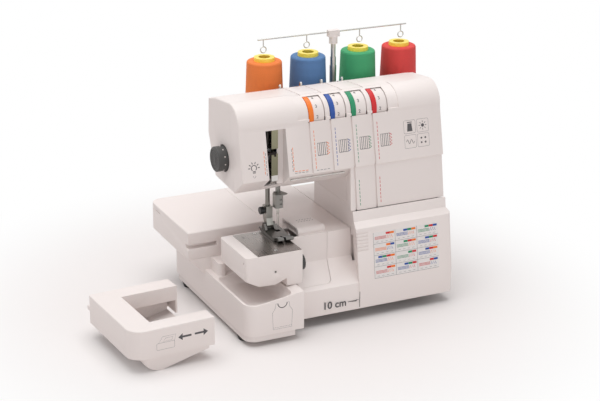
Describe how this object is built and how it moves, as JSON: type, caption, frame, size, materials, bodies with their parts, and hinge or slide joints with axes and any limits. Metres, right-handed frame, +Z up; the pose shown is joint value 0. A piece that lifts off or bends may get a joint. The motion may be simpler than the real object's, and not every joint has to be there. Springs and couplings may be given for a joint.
{
  "type": "overlock sewing machine",
  "caption": "Tabletop overlock sewing machine with free arm, slip-on extension table, tension dials, hinged looper cover, thread cones on a rear stand and a telescopic thread guide.",
  "frame": {"origin": "middle of the whole set's bounding box, on the floor plane under the feet", "axes": "+X from the slip-on table towards the handwheel, +Y from the front to the spool stand, +Z up"},
  "size_m": [0.5226, 0.2932, 0.3465],
  "materials": {
    "shell_white": "fine satin texture",
    "base_white": "satin",
    "foot_rubber": "matte",
    "plate_steel": "brushed",
    "tool_steel": "ground",
    "polished_steel": "polished",
    "grip_grey": "satin",
    "inlet_black": "satin",
    "frame_aluminium": "cast",
    "bush_brass": "turned",
    "belt_rubber": "matte",
    "motor_grey": "satin",
    "wheel_white": "satin",
    "lifter_white": "satin",
    "lever_dark": "satin",
    "stand_white": "satin",
    "pole_nickel": "satin nickel",
    "drum_white": "smooth",
    "ring_orange": "smooth",
    "ring_blue": "smooth",
    "ring_green": "smooth",
    "ring_red": "smooth",
    "thread_orange": "wound thread",
    "thread_blue": "wound thread",
    "thread_green": "wound thread",
    "thread_red": "wound thread"
  },
  "bodies": {
    "machine": {"base_plate": "base_white", "rubber_feet": "foot_rubber", "base_shell": "shell_white", "rear_table": "shell_white", "bed_cover": "shell_white", "looper_guard": "shell_white", "free_arm": "shell_white", "needle_plate": "plate_steel", "looper_side_panel": "shell_white", "lower_rear_housing": "shell_white", "power_inlet": "inlet_black", "head_front_cover": "shell_white", "head_rear_cover": "shell_white", "tension_spindle": "tool_steel", "thread_guides": "polished_steel", "main_frame": "frame_aluminium", "shaft_bushes": "bush_brass", "drive_belt": "belt_rubber", "motor": "motor_grey", "lower_knife": "tool_steel", "spool_stand": "stand_white", "spool_pins": "stand_white", "guide_pole_lower": "pole_nickel"},
    "drive_wheel": {"handwheel": "wheel_white", "main_shaft": "tool_steel"},
    "motor_drive": {"motor_pulley": "tool_steel"},
    "needle_drive": {"needle_bar": "polished_steel", "needle_clamp": "polished_steel", "needles": "polished_steel"},
    "presser": {"presser_bar": "polished_steel", "foot_holder": "polished_steel"},
    "foot": {"presser_foot": "polished_steel"},
    "lifter": {"presser_lifter": "lifter_white"},
    "pressure_knob": {"pressure_dial": "grip_grey"},
    "looper_up": {"upper_looper": "tool_steel"},
    "looper_low": {"lower_looper": "tool_steel"},
    "knife_up": {"upper_knife": "tool_steel"},
    "feed": {"feed_dogs": "tool_steel"},
    "take_up": {"take_up_lever": "lever_dark"},
    "pole_mid": {"guide_pole_middle": "pole_nickel"},
    "pole_top": {"guide_pole_upper": "pole_nickel"},
    "thread_bar": {"guide_cap": "stand_white", "guide_bar": "polished_steel"},
    "cover": {"front_cover": "shell_white"},
    "width_knob": {"cutting_width_dial": "grip_grey"},
    "length_knob": {"stitch_length_dial": "grip_grey"},
    "switch": {"power_switch": "inlet_black"},
    "slip_table": {"extension_table": "shell_white"},
    "tension_1": {"tension_drum_1": "drum_white", "tension_ring_1": "ring_orange"},
    "cone_1": {"thread_cone_1": "thread_orange"},
    "tension_2": {"tension_drum_2": "drum_white", "tension_ring_2": "ring_blue"},
    "cone_2": {"thread_cone_2": "thread_blue"},
    "tension_3": {"tension_drum_3": "drum_white", "tension_ring_3": "ring_green"},
    "cone_3": {"thread_cone_3": "thread_green"},
    "tension_4": {"tension_drum_4": "drum_white", "tension_ring_4": "ring_red"},
    "cone_4": {"thread_cone_4": "thread_red"}
  },
  "joints": [
    {"name": "handwheel_turn", "type": "hinge", "parent": "machine", "child": "drive_wheel", "pos_m": [0.21778, 0.01464, 0.066], "axis": [1, 0, 0], "continuous": true},
    {"name": "motor_turn", "type": "hinge", "parent": "machine", "child": "motor_drive", "pos_m": [0.18328, 0.06664, 0.05], "axis": [1, 0, 0], "continuous": true},
    {"name": "needle_stroke", "type": "slide", "parent": "machine", "child": "needle_drive", "axis": [0, 0, 1], "range_m": [-0.024, 0.002]},
    {"name": "upper_looper_swing", "type": "hinge", "parent": "machine", "child": "looper_up", "pos_m": [0.03528, -0.05136, 0.092], "axis": [0, 1, 0], "range_deg": [-5, 1]},
    {"name": "lower_looper_swing", "type": "hinge", "parent": "machine", "child": "looper_low", "pos_m": [0.03528, -0.03886, 0.092], "axis": [0, 1, 0], "range_deg": [-1, 5]},
    {"name": "upper_knife_stroke", "type": "slide", "parent": "machine", "child": "knife_up", "axis": [0, 0, 1], "range_m": [-0.004, 0.0005]},
    {"name": "feed_stroke", "type": "slide", "parent": "machine", "child": "feed", "axis": [0, 1, 0], "range_m": [-0.002, 0.002]},
    {"name": "take_up_swing", "type": "hinge", "parent": "machine", "child": "take_up", "pos_m": [-0.03072, -0.01536, 0.232], "axis": [1, 0, 0], "range_deg": [-2, 12]},
    {"name": "lifter_raise", "type": "hinge", "parent": "machine", "child": "lifter", "pos_m": [-0.03072, -0.00936, 0.206], "axis": [1, 0, 0], "range_deg": [-1, 31]},
    {"name": "presser_raise", "type": "slide", "parent": "machine", "child": "presser", "axis": [0, 0, 1], "range_m": [0, 0.006]},
    {"name": "foot_tip", "type": "hinge", "parent": "presser", "child": "foot", "pos_m": [-0.01772, -0.03236, 0.123], "axis": [1, 0, 0], "range_deg": [-12, 0]},
    {"name": "pressure_turn", "type": "hinge", "parent": "machine", "child": "pressure_knob", "pos_m": [-0.07372, -0.01536, 0.217], "axis": [1, 0, 0], "range_deg": [-150, 150]},
    {"name": "tension_1_turn", "type": "hinge", "parent": "machine", "child": "tension_1", "pos_m": [0.02578, -0.03836, 0.27], "axis": [1, 0, 0], "range_deg": [-140, 140]},
    {"name": "tension_2_turn", "type": "hinge", "parent": "machine", "child": "tension_2", "pos_m": [0.05618, -0.03836, 0.27], "axis": [1, 0, 0], "range_deg": [-140, 140]},
    {"name": "tension_3_turn", "type": "hinge", "parent": "machine", "child": "tension_3", "pos_m": [0.08658, -0.03836, 0.27], "axis": [1, 0, 0], "range_deg": [-140, 140]},
    {"name": "tension_4_turn", "type": "hinge", "parent": "machine", "child": "tension_4", "pos_m": [0.11698, -0.03836, 0.27], "axis": [1, 0, 0], "range_deg": [-140, 140]},
    {"name": "cutting_width_turn", "type": "hinge", "parent": "machine", "child": "width_knob", "pos_m": [-0.00572, -0.08536, 0.086], "axis": [1, 0, 0], "range_deg": [-150, 150]},
    {"name": "stitch_length_turn", "type": "hinge", "parent": "machine", "child": "length_knob", "pos_m": [0.21778, -0.04336, 0.092], "axis": [1, 0, 0], "range_deg": [-150, 150]},
    {"name": "switch_rock", "type": "hinge", "parent": "machine", "child": "switch", "pos_m": [0.21628, 0.07664, 0.063], "axis": [0, 1, 0], "range_deg": [0, 17]},
    {"name": "cover_open", "type": "hinge", "parent": "machine", "child": "cover", "pos_m": [-0.01072, -0.10236, 0.022], "axis": [1, 0, 0], "range_deg": [0, 60]},
    {"name": "pole_top_raise", "type": "slide", "parent": "machine", "child": "pole_top", "axis": [0, 0, 1], "range_m": [0, 0.08]},
    {"name": "pole_middle_raise", "type": "slide", "parent": "machine", "child": "pole_mid", "axis": [0, 0, 1], "range_m": [0, 0.0401]},
    {"name": "guide_swivel", "type": "hinge", "parent": "pole_top", "child": "thread_bar", "pos_m": [0.12528, 0.06964, 0.344], "axis": [0, 0, 1], "range_deg": [-90, 90]},
    {"name": "cone_1_turn", "type": "hinge", "parent": "machine", "child": "cone_1", "pos_m": [0.02228, 0.06964, 0.2083], "axis": [0, 0, 1], "continuous": true},
    {"name": "cone_2_turn", "type": "hinge", "parent": "machine", "child": "cone_2", "pos_m": [0.08728, 0.06964, 0.2083], "axis": [0, 0, 1], "continuous": true},
    {"name": "cone_3_turn", "type": "hinge", "parent": "machine", "child": "cone_3", "pos_m": [0.16328, 0.06964, 0.2083], "axis": [0, 0, 1], "continuous": true},
    {"name": "cone_4_turn", "type": "hinge", "parent": "machine", "child": "cone_4", "pos_m": [0.22728, 0.06964, 0.2083], "axis": [0, 0, 1], "continuous": true},
    {"name": "slip_table_lift", "type": "slide", "parent": "machine", "child": "slip_table", "axis": [0, 0, 1], "range_m": [0, 0.055]}
  ],
  "couplings": [
    {"joint": "motor_turn", "follows": "handwheel_turn", "ratio": 2.8889},
    {"joint": "upper_looper_swing", "follows": "needle_stroke", "rad_per_m": 2.9},
    {"joint": "lower_looper_swing", "follows": "needle_stroke", "rad_per_m": -2.9},
    {"joint": "upper_knife_stroke", "follows": "needle_stroke", "ratio": 0.16},
    {"joint": "feed_stroke", "follows": "needle_stroke", "ratio": 0.07},
    {"joint": "take_up_swing", "follows": "needle_stroke", "rad_per_m": -8},
    {"joint": "lifter_raise", "follows": "presser_raise", "rad_per_m": 87.266},
    {"joint": "pole_middle_raise", "follows": "pole_top_raise", "ratio": 0.5}
  ]
}
